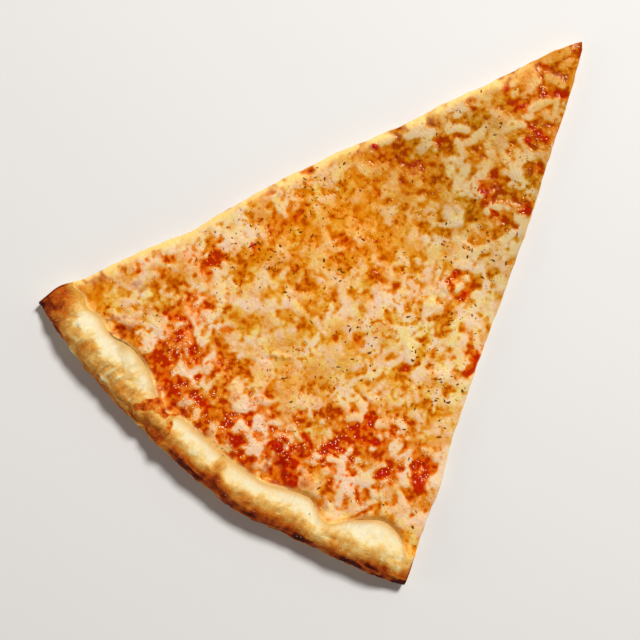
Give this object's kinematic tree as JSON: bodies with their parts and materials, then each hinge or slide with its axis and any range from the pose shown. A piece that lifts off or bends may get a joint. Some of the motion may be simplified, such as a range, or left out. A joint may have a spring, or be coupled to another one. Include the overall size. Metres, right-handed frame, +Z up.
{
  "type": "cheese pizza slice",
  "caption": "Wedge of plain cheese pizza lying flat: thin dough base with a raised crust along its arc, a thin layer of tomato sauce and browned melted cheese, cut to a point.",
  "frame": {"origin": "bottom centre of the bounding box, on the surface that the slice rests on", "axes": "+Y from the tip towards the crust, +Z up out of the cheese, +X towards the longer of the two cut edges"},
  "size_m": [0.1808, 0.2282, 0.0162],
  "materials": {
    "dough": "baked wheat dough, dry and matte: pale cream inside the rim and at the cuts, golden brown over its top, reddish brown at its outer edge and underneath",
    "sauce": "cooked tomato sauce, moist and half glossy, orange red with darker pulp",
    "cheese": "melted low-moisture cheese, satin to glossy with oil: cream strands over golden hollows, toasted brown dots and flecks of dried herb"
  },
  "bodies": {
    "root": {"dough": "dough", "sauce": "sauce", "cheese": "cheese"}
  },
  "joints": []
}
